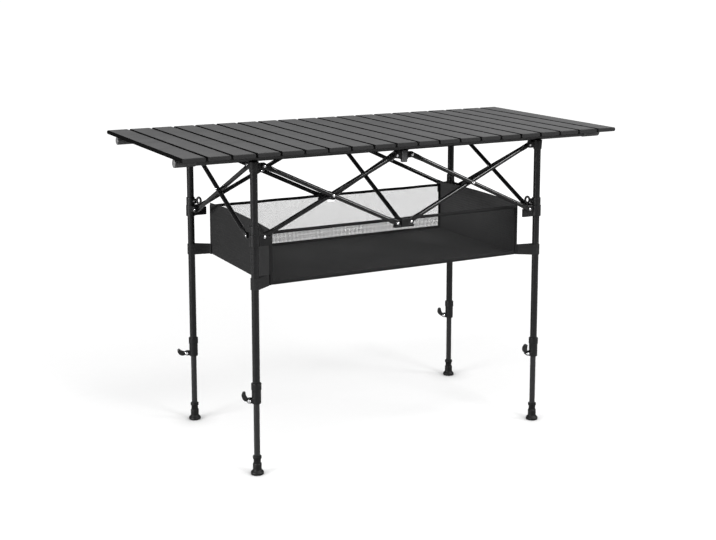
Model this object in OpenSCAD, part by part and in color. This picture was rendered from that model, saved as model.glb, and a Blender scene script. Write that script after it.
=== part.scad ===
// Roll top camp table. Aluminium slats lie on two rails, over a frame of scissor braces
// that folds to a bundle, with telescopic legs and a cloth basket slung between them.
// X runs along the top, Y from front to rear, Z up, with the floor at Z = 0.

/* [Top] */
// Height of the table top over the floor
top_h = 700; // [690:1:740]
// Depth of the top, which is the length of a slat
top_d = 500; // [470:1:560]
// Width of a slat
slat_w = 50.5; // [49:0.5:55]
// Gap between two slats
slat_gap = 3; // [1.6:0.1:3.4]
// Thickness of a slat
slat_t = 9; // [8:0.5:11]
// Wall of the hollow slat
slat_wall = 1.2; // [0.8:0.1:1.6]
// Chamfer along a slat's upper edges
slat_edge = 1.2; // [0.6:0.1:2]
// Thickness of the cap at a slat's end
cap_t = 3; // [2:0.5:5]
// Depth of the cap's plug inside the slat
plug_l = 12; // [6:1:20]
// Diameter of the hole for the elastic cord through the slats
cord_hole = 4.5; // [3:0.5:5]
// Distance between the two elastic cords
cord_span = 290; // [240:1:320]

/* [Rails] */
// Diameter of the rails under the slats
rail_d = 16; // [14:0.5:18]
// Distance from the end of the top to the end of a rail
rail_inset = 4; // [2:1:10]
// Wall of a rail
rail_wall = 1.2; // [0.8:0.1:2]
// Length of the sleeve at a rail's end
sleeve_l = 46; // [30:1:60]
// Wall of that sleeve
sleeve_wall = 1.2; // [0.8:0.1:1.6]

/* [Legs] */
// Distance between leg axes along the top
leg_span_x = 713; // [690:1:740]
// Distance between leg axes from front to rear
leg_span_y = 377; // [368:1:386]
// Diameter of the upper leg tube
leg_d = 16; // [15:0.5:17]
// Wall of the upper leg tube
leg_wall = 1.2; // [1:0.1:1.4]
// Wall of the inner leg tube
inner_wall = 1.2; // [0.8:0.1:1.6]
// Height of the lower end of the clamp collar over the floor
clamp_z = 157; // [150:1:170]
// Length of the clamp collar
clamp_l = 44; // [40:1:50]
// Diameter of the clamp collar
clamp_d = 22; // [21:0.5:24]
// Length of inner leg that stays in the upper tube
leg_overlap = 120; // [80:1:160]

/* [Feet] */
// Diameter of the foot's base
foot_d = 28; // [26:0.5:34]
// Height of the foot
foot_h = 41; // [38:1:44]
// Wall of the foot around the inner leg
foot_wall = 1.4; // [1:0.1:2]
// Thickness of the foot's base and of its upper ring
foot_ring = 5; // [4:0.5:7]
// Height of the foot's cup over its base
foot_cup = 20; // [16:1:24]
// How far the cup and the upper ring stand out
foot_rib = 1.6; // [1:0.1:2]

/* [Braces] */
// Diameter of a brace tube
brace_d = 10; // [9:0.5:10.2]
// Thickness of a brace's flattened end
tab_t = 4; // [3:0.5:5]
// Width of a brace's flattened end
tab_w = 12; // [11:0.5:13]
// Length of a brace's flattened end, past the rivet
tab_l = 20; // [18:1:24]
// Height from the lower to the upper row of rivets
rise = 150; // [140:1:160]
// Rivet shank diameter
rivet_d = 5; // [4:0.5:6]
// Rivet head diameter
rivet_head_d = 7; // [6.5:0.5:9]
// Rivet head height
rivet_head_h = 1.5; // [1:0.1:2]

/* [Brackets] */
// Shortest arm from a leg's axis to the rivets of the front and rear braces
leg_arm = 22; // [21:0.5:24]
// Shortest arm from a centre hub's axis to the rivets of the front and rear braces
hub_arm = 18; // [17:0.5:20]
// Shortest arm from any axis to the rivets of the end and middle braces
side_arm = 22; // [21:0.5:24]
// Thickness of the lug that a brace is riveted to
lug_t = 6; // [5:0.1:6.4]
// Height of that lug
lug_h = 14; // [13:0.5:15]
// Depth of the upper rivets below the rails' seat
pin_drop = 10.4; // [9:0.1:13]
// Diameter of the socket on top of a leg
socket_d = 24; // [23:0.5:25]
// Diameter of that socket's lower end
socket_neck = 19; // [18.5:0.1:21]
// Length of that socket
socket_l = 26; // [22:1:32]
// Thickness of the socket's closed top
socket_top = 6; // [4:0.5:8]
// Height of the lip beside the rail
lip_h = 5; // [3:0.5:7]
// Thickness of the lip beside the rail
lip_t = 4; // [3:0.5:6]
// Width of a centre hub's block
hub_w = 18; // [16:0.5:19]
// Depth of a centre hub's block
hub_depth = 22; // [18:0.5:24]
// Height of the lower hub's block
hub_low_h = 18; // [16:1:22]
// Size of the stud under the upper hub
stud_d = 15; // [12:0.5:16]

/* [Sliders] */
// Diameter of the slider's block
slider_d = 22; // [21:0.5:24]
// Height of the slider's block
slider_h = 26; // [24:1:30]
// Height of the collar on the slider
collar_h = 18; // [16:1:20]
// Diameter of the collar on the slider
collar_d = 20; // [19:0.5:21]
// Reach of the slider's arm towards the basket
arm_reach = 38; // [34:1:40]
// Height of that arm
arm_h = 19; // [16:0.5:20]
// Diameter of the latch pin
latch_d = 4; // [3:0.5:5]
// Diameter of the boss that guides the latch pin
boss_d = 8; // [7:0.5:9]
// Distance from the leg's axis to the end of that boss
boss_reach = 14; // [13:0.5:15]
// Diameter of the pull ring
ring_d = 10; // [8:0.5:11]
// Thickness of the pull ring
ring_t = 2; // [1.6:0.1:2.4]

/* [Levers] */
// Length of a clamp lever from its pivot
lever_l = 26; // [20:1:30]
// Angle that a clamp lever bends through
lever_bend = 50; // [40:1:60]
// Width of a clamp lever
lever_w = 8; // [6:0.5:10]
// Thickness of a clamp lever at its tip
lever_t = 4; // [3:0.5:5]
// Thickness that a clamp lever gains towards its middle
lever_swell = 3.5; // [2:0.5:4]
// Diameter of the lever's pivot barrel
barrel_d = 9; // [8:0.5:10]
// Diameter of the lever's pivot pin
pivot_d = 4; // [3:0.5:5]
// Thickness of each ear that holds the pivot
ear_t = 3; // [2:0.5:4]
// Distance from the leg's axis to the lever's pivot
pivot_reach = 16.5; // [16:0.5:18]
// Height of the pivot over the collar's lower end
pivot_rise = 7; // [6:0.5:9]

/* [Basket] */
// Distance from the legs' axes to the basket's ends
basket_gap_x = 41.5; // [40:0.5:50]
// Distance from the legs' axes to the basket's front and rear
basket_gap_y = 16.5; // [15:0.5:24]
// Depth of the basket's floor below the lower rivets
basket_drop = 110; // [95:1:112]
// Height of the basket's walls
basket_h = 117; // [100:1:120]
// Thickness of the basket's cloth
cloth_t = 1.2; // [0.8:0.1:2]
// Height of the hem on the front and rear nets
hem_h = 7; // [5:0.5:9]
// Thickness of that hem
hem_t = 4; // [3:0.5:5]
// Width of a net's border
net_border = 8; // [5:0.5:12]
// Width of a net's strand
net_strand = 2.5; // [1.5:0.1:4]
// Width of a corner strap
strap_w = 24; // [18:1:30]
// Thickness of a corner strap
strap_t = 1.6; // [1:0.1:2.4]
// Length of strap sewn to the end of the basket
strap_sewn = 30; // [20:1:50]
// Width of the notch for a lower hub's arm
notch_w = 18; // [14:1:24]
// Depth of the notch for a lower hub's arm
notch_h = 20; // [17:1:26]

/* [Clearances] */
// Gap where one piece lies on another
seat_gap = 0.3; // [0.2:0.05:0.5]
// Radial clearance of a rivet in the lug it turns in
pin_fit = 0.08; // [0.04:0.01:0.1]
// Gap drawn between two pieces that are fixed to each other
fixed_fit = 0.03; // [0.01:0.01:0.05]
// Radial clearance of a sliding tube, slider or strap
slide_fit = 0.3; // [0.2:0.05:0.4]

/* [Hidden] */
$fn = 48;
eps = 0.01;
slat_count = 20;
net_columns = 25;
net_rows = 6;

// Places along the top
slat_pitch = slat_w + slat_gap;
top_l = slat_count * slat_pitch - slat_gap;
slat_z = top_h - slat_t;
rail_z = slat_z - seat_gap - rail_d / 2;
rail_l = top_l - 2 * rail_inset;
sleeve_d = rail_d + 2 * sleeve_wall;
seat_z = rail_z - rail_d / 2 - seat_gap;

// The rivet grid of the scissor frame: every brace has the same length and slope
leg_x = leg_span_x / 2;
leg_y = leg_span_y / 2;
free_x = leg_x - leg_arm - hub_arm;
span = min(free_x, 2 * (leg_y - side_arm));
arm_x = leg_arm + (free_x - span) / 2;
arm_hub = hub_arm + (free_x - span) / 2;
arm_y = leg_y - span / 2;
pin_top = seat_z - pin_drop;
pin_low = pin_top - rise;
brace_l = sqrt(span * span + rise * rise);
slope = atan2(rise, span);
layer = lug_t / 2 + seat_gap + tab_t / 2;

// Telescopic legs
leg_top = seat_z - socket_top;
inner_d = leg_d - 2 * leg_wall - 2 * slide_fit;
leg_z = clamp_z + clamp_l / 4;
leg_l = leg_top - leg_z - 2 * fixed_fit;
inner_z = foot_ring + fixed_fit;
inner_top = leg_z + leg_overlap;

// The basket between the legs
basket_l = leg_span_x - 2 * basket_gap_x;
basket_d = leg_span_y - 2 * basket_gap_y;
basket_z = pin_low - basket_drop;

// Each leg by name: side along X, side along Y, turn of its lever round the leg, tilt of the lever
LEGS = [
  ["fl", -1, -1, 165, 40],
  ["fr", 1, -1, 170, 62],
  ["rl", -1, 1, 160, 0],
  ["rr", 1, 1, 165, 40],
];

// Each brace by name: plane, start along X, start along Y, 1 where it falls, side of its rivet lugs
left = -leg_x + arm_x;
front = -leg_y + arm_y;
BRACES = [
  ["brace_fl_high", "x", left, -leg_y, 1, -1],
  ["brace_fl_low", "x", left, -leg_y, 0, 1],
  ["brace_fr_low", "x", arm_hub, -leg_y, 1, -1],
  ["brace_fr_high", "x", arm_hub, -leg_y, 0, 1],
  ["brace_rl_high", "x", left, leg_y, 1, -1],
  ["brace_rl_low", "x", left, leg_y, 0, 1],
  ["brace_rr_low", "x", arm_hub, leg_y, 1, -1],
  ["brace_rr_high", "x", arm_hub, leg_y, 0, 1],
  ["brace_left_inner", "y", -leg_x, front, 1, -1],
  ["brace_left_outer", "y", -leg_x, front, 0, 1],
  ["brace_right_outer", "y", leg_x, front, 1, -1],
  ["brace_right_inner", "y", leg_x, front, 0, 1],
  ["brace_centre_falling", "y", 0, front, 1, 1],
  ["brace_centre_rising", "y", 0, front, 0, -1],
];

function slat_name(i) = str("slat_", i < 10 ? "0" : "", i);

// A bar along Y with chamfered upper edges, from its lower middle
module slat_bar(w, t, l, edge) {
  rotate([90, 0, 0])
    linear_extrude(l, center = true)
      polygon([[-w / 2, 0], [w / 2, 0], [w / 2, t - edge], [w / 2 - edge, t], [edge - w / 2, t],
        [-w / 2, t - edge]]);
}

// Hollow slat with a plastic cap plugged into each end
module slat(i) {
  body_l = top_d - 2 * (cap_t + fixed_fit);
  hollow_w = slat_w - 2 * slat_wall;
  hollow_t = slat_t - 2 * slat_wall;
  plug_w = hollow_w - 2 * fixed_fit;
  translate([(i - (slat_count + 1) / 2) * slat_pitch, 0, slat_z]) {
    color("#5c5c5e")
      difference() {
        slat_bar(slat_w, slat_t, body_l, slat_edge);
        translate([-hollow_w / 2, -top_d / 2, slat_wall])
          cube([hollow_w, top_d, hollow_t]);
        for (y = [-cord_span / 2, cord_span / 2])
          translate([-slat_w, y, slat_t / 2])
            rotate([0, 90, 0])
              cylinder(d = cord_hole, h = 2 * slat_w);
      }
    for (side = [-1, 1])
      color("#3a3a3b") {
        translate([0, side * (top_d - cap_t) / 2, 0])
          slat_bar(slat_w, slat_t, cap_t, slat_edge);
        translate([-plug_w / 2, side * (top_d / 2 - cap_t - plug_l / 2) - plug_l / 2 - side * eps,
          slat_wall + fixed_fit])
          cube([plug_w, plug_l, hollow_t - 2 * fixed_fit]);
      }
  }
}

// A tube along X, centred
module tube_x(d, wall, l) {
  rotate([0, 90, 0])
    difference() {
      cylinder(d = d, h = l, center = true);
      cylinder(d = d - 2 * wall, h = l + 1, center = true);
    }
}

// The two rails, each with a closed sleeve over both ends that is flat under the slats
module top_rails() {
  for (y = [-leg_y, leg_y])
    translate([0, y, rail_z]) {
      color("#2e2e2f")
        tube_x(rail_d, rail_wall, rail_l - 2 * (cap_t + fixed_fit));
      for (side = [-1, 1])
        color("#3c3c3d")
          translate([side * (rail_l - sleeve_l) / 2, 0, 0])
            rotate([0, side * 90, 0])
              difference() {
                cylinder(d = sleeve_d, h = sleeve_l, center = true);
                translate([0, 0, -sleeve_l / 2 - cap_t])
                  cylinder(d = rail_d + 2 * fixed_fit, h = sleeve_l);
                translate([-side * (rail_d + sleeve_d) / 2, 0, 0])
                  cube([sleeve_d, sleeve_d, sleeve_l + 1], center = true);
              }
    }
}

// A rivet along Y through a tab on the far side of a lug, set by the side of the tab
module rivet(side) {
  tab_face = layer + tab_t / 2 + fixed_fit;
  lug_face = lug_t / 2 + seat_gap;
  rotate([side * -90, 0, 0]) {
    translate([0, 0, -lug_face])
      cylinder(d = rivet_d, h = lug_face + tab_face);
    translate([0, 0, tab_face])
      cylinder(d = rivet_head_d, h = rivet_head_h);
    translate([0, 0, -lug_face - rivet_head_h])
      cylinder(d = rivet_head_d, h = rivet_head_h);
  }
}

// A brace along X from one rivet to the other, on one side of its lugs
module brace(side, has_cross_rivet) {
  color("#333334")
    difference() {
      translate([0, side * layer, 0]) {
        translate([tab_w, 0, 0])
          rotate([0, 90, 0])
            cylinder(d = brace_d, h = brace_l - 2 * tab_w);
        for (end = [0, 1])
          translate([end * brace_l, 0, 0])
            rotate([0, 0, end * 180]) {
              translate([0, -tab_t / 2, -tab_w / 2])
                cube([tab_l, tab_t, tab_w]);
              rotate([90, 0, 0])
                cylinder(d = tab_w, h = tab_t, center = true);
            }
      }
      for (end = [0, 1])
        translate([end * brace_l, side * layer, 0])
          rotate([90, 0, 0])
            cylinder(r = rivet_d / 2 + fixed_fit, h = tab_t + 1, center = true);
      translate([brace_l / 2, side * layer, 0])
        rotate([90, 0, 0])
          cylinder(r = rivet_d / 2 + (has_cross_rivet ? fixed_fit : pin_fit), h = brace_d + 1, center = true);
    }
  color("#c9c9cb") {
    for (end = [0, 1])
      translate([end * brace_l, 0, 0])
        rivet(side);
    if (has_cross_rivet)
      translate([brace_l / 2, 0, 0])
        cross_rivet();
  }
}

// The rivet where two braces cross, along Y
module cross_rivet() {
  face = layer + brace_d / 2 + fixed_fit;
  rotate([90, 0, 0]) {
    cylinder(d = rivet_d, h = 2 * face, center = true);
    for (side = [0, 1])
      mirror([0, 0, side])
        translate([0, 0, face])
          cylinder(d = rivet_head_d, h = rivet_head_h);
  }
}

// A brace in its place in the frame
module placed_brace(b) {
  falls = b[4] == 1;
  translate([b[2], b[3], falls ? pin_top : pin_low])
    rotate([0, 0, b[1] == "x" ? 0 : 90])
      rotate([0, falls ? slope : -slope, 0])
        brace(b[5], falls);
}

// The lug that a brace is riveted to: a plate along X with its rivet at a distance from the origin
module lug(reach) {
  difference() {
    union() {
      translate([0, -lug_t / 2, -lug_h / 2])
        cube([reach, lug_t, lug_h]);
      translate([reach, 0, 0])
        rotate([90, 0, 0])
          cylinder(d = lug_h, h = lug_t, center = true);
    }
    lug_bore(reach);
  }
}

// The hole for a lug's rivet
module lug_bore(reach) {
  translate([reach, 0, 0])
    rotate([90, 0, 0])
      cylinder(r = rivet_d / 2 + pin_fit, h = lug_t + 1, center = true);
}

// Sets a piece drawn for the front left leg, with inward along +X and +Y, at another leg
module at_leg(l) {
  translate([l[1] * leg_x, l[2] * leg_y, 0])
    mirror([l[1] > 0 ? 1 : 0, 0, 0])
      mirror([0, l[2] > 0 ? 1 : 0, 0])
        children();
}

// The lip on the inner side of a rail, drawn for the front
module rail_lip(w) {
  translate([-w / 2, rail_d / 2 + seat_gap, seat_z - lip_h])
    cube([w, lip_t, 2 * lip_h]);
}

// Upper leg: tube, moulded top bracket and clamp collar
module leg(l) {
  color("#2c2c2d")
    translate([l[1] * leg_x, l[2] * leg_y, leg_z + fixed_fit])
      difference() {
        cylinder(d = leg_d, h = leg_l);
        translate([0, 0, -1])
          cylinder(d = leg_d - 2 * leg_wall, h = leg_l + 2);
      }
  color("#262627")
    at_leg(l)
      difference() {
        union() {
          translate([0, 0, seat_z - socket_l])
            cylinder(d1 = socket_neck, d2 = socket_d, h = socket_l);
          translate([0, 0, pin_top])
            lug(arm_x);
          translate([0, 0, pin_top])
            rotate(90)
              lug(arm_y);
          rail_lip(socket_d);
        }
        translate([0, 0, seat_z - socket_l - 1])
          cylinder(r = leg_d / 2 + fixed_fit, h = socket_l + 1 - socket_top);
      }
  color("#222223")
    translate([l[1] * leg_x, l[2] * leg_y, clamp_z])
      clamp_collar(l[3]);
}

// Clamp collar at the foot of the upper leg, with the two ears of its lever turned to one side
module clamp_collar(turn) {
  neck_h = clamp_l / 3;
  neck_d = clamp_d - 2;
  ear_l = pivot_reach + barrel_d / 2;
  ear_h = barrel_d;
  gap_w = lever_w + 2 * seat_gap;
  difference() {
    union() {
      cylinder(d = neck_d, h = clamp_l);
      translate([0, 0, clamp_l - neck_h])
        cylinder(d = clamp_d, h = neck_h);
      rotate(turn)
        for (side = [-1, 1])
          translate([0, side * (gap_w + ear_t) / 2, 0]) {
            translate([0, -ear_t / 2, pivot_rise - ear_h / 2])
              cube([pivot_reach, ear_t, ear_h]);
            translate([pivot_reach, 0, pivot_rise])
              rotate([90, 0, 0])
                cylinder(d = ear_h, h = ear_t, center = true);
          }
    }
    translate([0, 0, leg_z - clamp_z])
      cylinder(r = leg_d / 2 + fixed_fit, h = clamp_l);
    translate([0, 0, -1])
      cylinder(r = inner_d / 2 + slide_fit, h = clamp_l);
    rotate(turn)
      translate([pivot_reach, 0, pivot_rise])
        rotate([90, 0, 0])
          cylinder(r = pivot_d / 2 + pin_fit, h = 2 * ear_l, center = true);
  }
}

// Clamp lever: a bent bar on a barrel, thickest in its middle
module lever(l) {
  bend_r = lever_l;
  steps = 8;
  turns = [for (k = [0:steps]) lever_bend * k / steps - 90];
  swell = [for (k = [0:steps]) lever_swell * sin(180 * k / steps)];
  outside = [for (k = [0:steps]) (bend_r + lever_t / 2 + swell[k]) * [cos(turns[k]), sin(turns[k])]];
  inside = [for (k = [steps:-1:0]) (bend_r - lever_t / 2) * [cos(turns[k]), sin(turns[k])]];
  color("#1e1e1f")
    translate([l[1] * leg_x, l[2] * leg_y, clamp_z + pivot_rise])
      rotate(l[3])
        translate([pivot_reach, 0, 0])
          rotate([0, -l[4], 0]) {
            difference() {
              union() {
                rotate([90, 0, 0])
                  cylinder(d = barrel_d, h = lever_w, center = true);
                translate([0, 0, bend_r])
                  rotate([90, 0, 0])
                    linear_extrude(lever_w, center = true)
                      polygon(concat(outside, inside));
              }
              rotate([90, 0, 0])
                cylinder(r = pivot_d / 2 + fixed_fit, h = lever_w + 1, center = true);
            }
            rotate([90, 0, 0])
              cylinder(d = pivot_d, h = lever_w + 2 * seat_gap + 2 * ear_t, center = true);
          }
}

// Inner leg: tube with its rubber foot
module inner_leg(l) {
  neck_d = inner_d + 2 * foot_wall;
  rib_d = neck_d + 2 * foot_rib;
  translate([l[1] * leg_x, l[2] * leg_y, 0]) {
    color("#303031")
      translate([0, 0, inner_z])
        difference() {
          cylinder(d = inner_d, h = inner_top - inner_z);
          translate([0, 0, -1])
            cylinder(d = inner_d - 2 * inner_wall, h = inner_top - inner_z + 2);
        }
    color("#1b1b1c")
      difference() {
        union() {
          cylinder(d = foot_d, h = foot_ring);
          translate([0, 0, foot_ring])
            cylinder(d1 = foot_d, d2 = rib_d, h = foot_ring);
          cylinder(d = neck_d, h = foot_h);
          translate([0, 0, foot_ring])
            cylinder(d = rib_d, h = foot_cup);
          translate([0, 0, foot_h - foot_ring])
            cylinder(d = rib_d, h = foot_ring);
        }
        translate([0, 0, foot_ring])
          cylinder(r = inner_d / 2 + fixed_fit, h = foot_h);
      }
  }
}

// Slider: block with its two lugs and the arm that holds the basket, and the latch collar on top
module slider(l) {
  block_z = pin_low + lug_h / 2 - slider_h + seat_gap;
  collar_z = block_z + slider_h + fixed_fit;
  color("#242425")
    at_leg(l) {
      difference() {
        union() {
          translate([0, 0, block_z])
            cylinder(d = slider_d, h = slider_h);
          translate([0, 0, pin_low])
            lug(arm_x);
          translate([0, 0, pin_low])
            rotate(90)
              lug(arm_y);
          translate([0, -lug_t / 2, block_z])
            cube([arm_reach, lug_t, arm_h]);
        }
        translate([0, 0, block_z - 1])
          cylinder(r = leg_d / 2 + slide_fit, h = slider_h + 2);
        translate([0, 0, pin_low])
          lug_bore(arm_x);
      }
      difference() {
        union() {
          translate([0, 0, collar_z])
            cylinder(d = collar_d, h = collar_h);
          translate([0, 0, collar_z + collar_h / 2])
            rotate([0, 90, 45])
              cylinder(d = boss_d, h = boss_reach);
        }
        translate([0, 0, collar_z - 1])
          cylinder(r = leg_d / 2 + slide_fit, h = collar_h + 2);
        translate([0, 0, collar_z + collar_h / 2])
          rotate([0, 90, 45])
            cylinder(r = latch_d / 2 + pin_fit, h = boss_reach + 1);
      }
    }
}

// Latch: the pin in the collar's boss and the ring that pulls it
module latch(l) {
  latch_z = pin_low + lug_h / 2 + seat_gap + collar_h / 2;
  pin_start = leg_d / 2 + slide_fit + seat_gap;
  ring_r = (ring_d - ring_t) / 2;
  pin_end = boss_reach + ring_t;
  color("#8d8d90")
    at_leg(l)
      translate([0, 0, latch_z])
        rotate(45) {
          translate([pin_start, 0, 0])
            rotate([0, 90, 0])
              cylinder(d = latch_d, h = pin_end - pin_start);
          translate([pin_end + ring_r, 0, 0])
            rotate([90, 0, 0])
              rotate_extrude()
                translate([ring_r, 0])
                  circle(d = ring_t);
        }
}

// Upper hub at the middle of a long side: the rail's seat, three lugs and a stud
module hub_upper(side) {
  color("#262627")
    translate([0, side * leg_y, 0])
      mirror([0, side > 0 ? 1 : 0, 0]) {
        translate([-hub_w / 2, -stud_d / 4, seat_z - socket_l + socket_top])
          cube([hub_w, stud_d / 4 + hub_depth / 2, socket_l - socket_top]);
        translate([0, 0, seat_z - socket_l])
          cylinder(d = stud_d, h = socket_l - eps);
        for (turn = [0, 90, 180])
          translate([0, 0, pin_top])
            rotate(turn)
              lug(turn == 90 ? arm_y : arm_hub);
        rail_lip(hub_w);
      }
}

// Lower hub at the middle of a long side, carried by the braces alone
module hub_lower(side) {
  color("#262627")
    translate([0, side * leg_y, pin_low])
      mirror([0, side > 0 ? 1 : 0, 0]) {
        translate([-hub_w / 2, -hub_w / 2, -hub_low_h / 2])
          cube([hub_w, hub_w, hub_low_h]);
        for (turn = [0, 90, 180])
          rotate(turn)
            lug(turn == 90 ? arm_y : arm_hub);
      }
}

// A net wall in the plane of X and Z, with its notch for the hub's arm and the hem along its top
module net_wall() {
  net_l = basket_l - 2 * (cloth_t + fixed_fit);
  net_h = basket_h - hem_h - fixed_fit;
  step_x = (net_l - 2 * net_border + net_strand) / net_columns;
  step_z = (net_h - 2 * net_border + net_strand) / net_rows;
  color("#1d1d1e")
    difference() {
      translate([-net_l / 2, 0, 0])
        cube([net_l, cloth_t, net_h]);
      for (i = [0:net_columns - 1], k = [0:net_rows - 1])
        translate([net_border - net_l / 2 + i * step_x, -1, net_border + k * step_z])
          cube([step_x - net_strand, cloth_t + 2, step_z - net_strand]);
      translate([-notch_w / 2, -1, net_h + hem_h - notch_h])
        cube([notch_w, cloth_t + 2, notch_h]);
    }
  color("#161617")
    for (side = [0, 1])
      mirror([side, 0, 0])
        translate([notch_w / 2, cloth_t - hem_t, net_h + fixed_fit])
          cube([(net_l - notch_w) / 2, hem_t, hem_h]);
}

// A corner strap, drawn for the front left leg: a loop round the leg and a band sewn to the basket's end
module strap() {
  loop_r = leg_d / 2 + slide_fit;
  band_r = loop_r + strap_t / 2;
  corner_x = leg_x - basket_l / 2 - fixed_fit;
  corner_y = leg_y - basket_d / 2;
  join_x = corner_x - strap_t / 2;
  join_y = corner_y + strap_sewn / 4;
  difference() {
    cylinder(r = loop_r + strap_t, h = strap_w);
    translate([0, 0, -1])
      cylinder(r = loop_r, h = strap_w + 2);
  }
  rotate(atan2(join_y, join_x))
    translate([band_r, -strap_t / 2, 0])
      cube([norm([join_x, join_y]) - band_r, strap_t, strap_w]);
  translate([corner_x - strap_t, corner_y, 0])
    cube([strap_t, strap_sewn, strap_w]);
}

// Cloth basket: floor, two closed ends, two net walls and four corner straps
module basket() {
  floor_l = basket_l - 2 * (cloth_t + fixed_fit);
  floor_d = basket_d - 2 * (hem_t + fixed_fit);
  color("#2b2b2c")
    translate([-floor_l / 2, -floor_d / 2, basket_z])
      cube([floor_l, floor_d, cloth_t]);
  color("#303031")
    for (side = [0, 1])
      mirror([side, 0, 0])
        translate([-basket_l / 2, -basket_d / 2, basket_z])
          cube([cloth_t, basket_d, basket_h]);
  for (side = [0, 1])
    mirror([0, side, 0])
      translate([0, -basket_d / 2 + hem_t - cloth_t, basket_z])
        net_wall();
  color("#191919")
    for (l = LEGS)
      at_leg(l)
        translate([0, 0, basket_z])
          strap();
}

for (i = [1:slat_count])
  slat(i);
top_rails();
for (b = BRACES)
  placed_brace(b);
for (l = LEGS) {
  leg(l);
  inner_leg(l);
  slider(l);
  latch(l);
  lever(l);
}
hub_upper(-1);  // hub_front_upper
hub_upper(1);  // hub_rear_upper
hub_lower(-1);  // hub_front_lower
hub_lower(1);  // hub_rear_lower
basket();
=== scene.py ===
import math

import bmesh
import bpy
import numpy as np
from mathutils import Matrix, Vector


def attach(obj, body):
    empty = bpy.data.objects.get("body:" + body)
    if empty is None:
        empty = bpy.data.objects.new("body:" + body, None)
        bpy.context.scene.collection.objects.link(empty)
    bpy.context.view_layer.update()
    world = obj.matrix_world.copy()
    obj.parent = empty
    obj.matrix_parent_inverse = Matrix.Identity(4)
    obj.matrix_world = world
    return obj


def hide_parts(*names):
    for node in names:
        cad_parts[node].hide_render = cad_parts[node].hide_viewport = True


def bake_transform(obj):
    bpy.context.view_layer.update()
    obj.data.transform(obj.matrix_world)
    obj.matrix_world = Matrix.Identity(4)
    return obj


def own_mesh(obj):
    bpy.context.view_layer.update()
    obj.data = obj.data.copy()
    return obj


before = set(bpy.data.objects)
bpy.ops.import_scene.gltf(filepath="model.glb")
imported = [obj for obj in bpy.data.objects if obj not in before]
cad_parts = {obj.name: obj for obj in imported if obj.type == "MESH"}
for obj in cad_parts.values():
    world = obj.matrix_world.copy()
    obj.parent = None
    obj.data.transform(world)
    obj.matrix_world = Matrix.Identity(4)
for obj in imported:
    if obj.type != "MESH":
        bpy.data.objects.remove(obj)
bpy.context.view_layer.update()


# The studio: a pale seamless floor, five soft lights, and a camera at the photograph's place, for a picture
# of 716 by 540. The floor glows white to camera rays only, with painted shade in the glow near the feet.
scene = bpy.context.scene
scene.view_settings.view_transform = "Standard"


def put(tree, kind, inputs=None, **settings):
    """Adds a node to a tree. An input is another node's socket, which is linked, or a value."""
    node = tree.nodes.new(kind)
    for key, value in settings.items():
        setattr(node, key, value)
    for key, value in (inputs or {}).items():
        if isinstance(value, bpy.types.NodeSocket):
            tree.links.new(value, node.inputs[key])
        else:
            node.inputs[key].default_value = value
    return node


def coat(name, colour, spread, rough, grain, bump, stretch=(1, 1, 1), **plain):
    """A finish on Object coordinates: blotches in its colour, and grain in its roughness and relief."""
    material = bpy.data.materials.new(name)
    material.use_nodes = True
    tree = material.node_tree
    shader = tree.nodes["Principled BSDF"]
    for key, value in plain.items():
        shader.inputs[key.replace("_", " ")].default_value = value
    place = put(tree, "ShaderNodeTexCoord").outputs["Object"]
    drawn = put(tree, "ShaderNodeMapping", {"Vector": place, "Scale": stretch}).outputs[0]
    blotch = put(tree, "ShaderNodeTexNoise", {"Vector": place, "Scale": 28, "Detail": 4}).outputs[0]
    fine = put(tree, "ShaderNodeTexNoise", {"Vector": drawn, "Scale": grain, "Detail": 3}).outputs[0]
    mottle = put(tree, "ShaderNodeMath", {0: blotch, 1: fine}, operation="ADD").outputs[0]
    shade = put(tree, "ShaderNodeMath", {0: mottle, 1: 0.5}, operation="MULTIPLY").outputs[0]
    ramp = put(tree, "ShaderNodeValToRGB", {"Fac": shade})
    for stop, share in zip(ramp.color_ramp.elements, (1 - spread, 1 + spread)):
        stop.color = (*(c * share for c in colour), 1)
    ramp.color_ramp.elements[0].position = 0.3
    ramp.color_ramp.elements[1].position = 0.7
    level = put(tree, "ShaderNodeMapRange",
                {"Value": fine, "From Min": 0.3, "From Max": 0.7, "To Min": rough[0], "To Max": rough[1]})
    relief = put(tree, "ShaderNodeBump", {"Height": fine, "Strength": bump, "Distance": 0.0002})
    tree.links.new(ramp.outputs[0], shader.inputs["Base Color"])
    tree.links.new(level.outputs[0], shader.inputs["Roughness"])
    tree.links.new(relief.outputs[0], shader.inputs["Normal"])
    return material


camera_data = bpy.data.cameras.new("camera")
camera_data.sensor_width = 36
camera_data.lens = 63.568
camera_data.shift_y = -0.155
camera = bpy.data.objects.new("camera", camera_data)
camera.location = (-1.36464, -2.56085, 1.06904)
camera.rotation_euler = (math.radians(81.38), 0, math.radians(-27.803))
scene.collection.objects.link(camera)
scene.camera = camera

floor_half = 60
floor_lift = {"From Min": 0.4, "From Max": 3.4, "To Min": 0.52, "To Max": 0.86}
foot_shade_reach = 0.06
foot_shade_power = 2.5
floor_mesh = bpy.data.meshes.new("floor")
floor_mesh.from_pydata([(-floor_half, -floor_half, 0), (floor_half, -floor_half, 0),
                        (floor_half, floor_half, 0), (-floor_half, floor_half, 0)], [], [(0, 1, 2, 3)])
pale_floor = coat("pale_floor", (0.4, 0.4, 0.4), 0.005, (0.6, 0.7), 40, 0.02)
paper = pale_floor.node_tree
ground = put(paper, "ShaderNodeTexCoord").outputs["Object"]
apart = put(paper, "ShaderNodeVectorMath", {0: ground}, operation="LENGTH").outputs["Value"]
lift = put(paper, "ShaderNodeMapRange", {"Value": apart, **floor_lift},
           interpolation_type="SMOOTHSTEP").outputs[0]
shown = put(paper, "ShaderNodeLightPath").outputs["Is Camera Ray"]
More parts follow.
